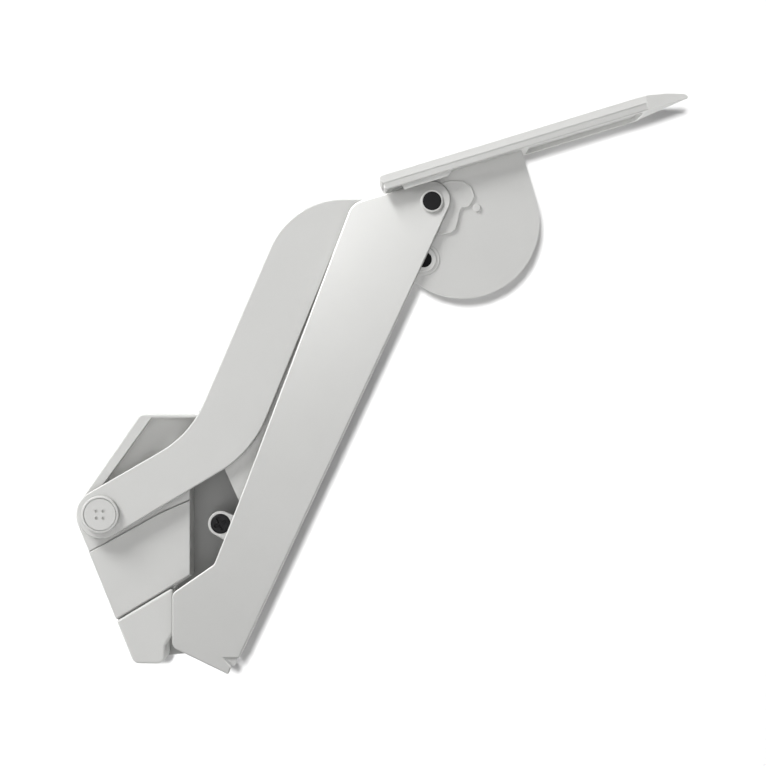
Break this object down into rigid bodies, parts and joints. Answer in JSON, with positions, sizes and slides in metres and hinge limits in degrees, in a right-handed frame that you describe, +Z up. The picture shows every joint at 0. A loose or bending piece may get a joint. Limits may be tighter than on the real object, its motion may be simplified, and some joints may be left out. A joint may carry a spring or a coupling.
{
  "type": "lid stay",
  "caption": "Flap lift lid stay with a deep base, a wide spring-loaded main arm, a cranked guide arm and a hinged front bracket that carries a long flap plate.",
  "frame": {"origin": "on the base's back face, on the axis of the main arm's pivot", "axes": "+X out of the cabinet towards the user, +Z up, +Y into the side panel that the base is screwed to"},
  "size_m": [0.3086, 0.032, 0.29],
  "materials": {
    "light_paint": "satin powder coat, pale grey",
    "light_plastic": "fine satin, pale grey",
    "grey_paint": "satin, mid grey",
    "zinc_steel": "zinc plated",
    "black_steel": "black oxide",
    "black_plastic": "fine grain",
    "bearing_plastic": "smooth",
    "rubber": "matt"
  },
  "bodies": {
    "base": {"base_plate": "grey_paint", "base_housing": "light_plastic", "centre_cover": "light_plastic", "lower_cover": "light_plastic", "crank_stud": "zinc_steel", "crank_washer": "bearing_plastic", "crank_cap": "light_paint", "main_shaft": "zinc_steel", "shaft_clip": "zinc_steel", "hub_cam": "zinc_steel", "shaft_support": "light_paint", "support_screw": "black_steel"},
    "main_arm": {"arm_channel": "light_paint", "inner_plate": "light_paint", "arm_spacers": "light_paint", "spring_seat": "zinc_steel", "spring_guides": "zinc_steel", "springs": "zinc_steel", "force_screw": "zinc_steel", "bracket_rivet": "light_paint", "pivot_cap": "black_plastic"},
    "spring_slider": {"spring_slider": "zinc_steel"},
    "guide_arm": {"crank_arm": "light_paint"},
    "front_bracket": {"bracket_cheek": "light_paint", "reinforcing_plate": "light_paint", "cheek_rivet": "light_paint", "pivot_washer": "bearing_plastic", "crank_pin": "zinc_steel", "pin_retainer": "zinc_steel", "buffer_ring": "light_paint", "buffer": "rubber", "front_rail": "light_paint", "front_plate": "light_plastic", "flange_screws": "zinc_steel"}
  },
  "joints": [
    {"name": "main_arm_hinge", "type": "hinge", "parent": "base", "child": "main_arm", "pos_m": [0, -0.01, 0], "axis": [0, -1, 0], "range_deg": [0, 24]},
    {"name": "guide_arm_hinge", "type": "hinge", "parent": "base", "child": "guide_arm", "pos_m": [-0.0782, -0.02, 0.0164], "axis": [0, -1, 0], "range_deg": [0, 23.5]},
    {"name": "bracket_hinge", "type": "hinge", "parent": "main_arm", "child": "front_bracket", "pos_m": [0.0885, -0.025, 0.1735], "axis": [0, -1, 0], "range_deg": [-131.2, 0]},
    {"name": "spring_slide", "type": "slide", "parent": "main_arm", "child": "spring_slider", "axis": [0.4226, 0, 0.9063], "range_m": [0, 0.00201], "deforming": ["springs"]}
  ],
  "couplings": [
    {"joint": "guide_arm_hinge", "follows": "main_arm_hinge", "ratio": 0.975},
    {"joint": "bracket_hinge", "follows": "main_arm_hinge", "ratio": -5.4542},
    {"joint": "spring_slide", "follows": "main_arm_hinge", "m_per_rad": 0.004765}
  ]
}
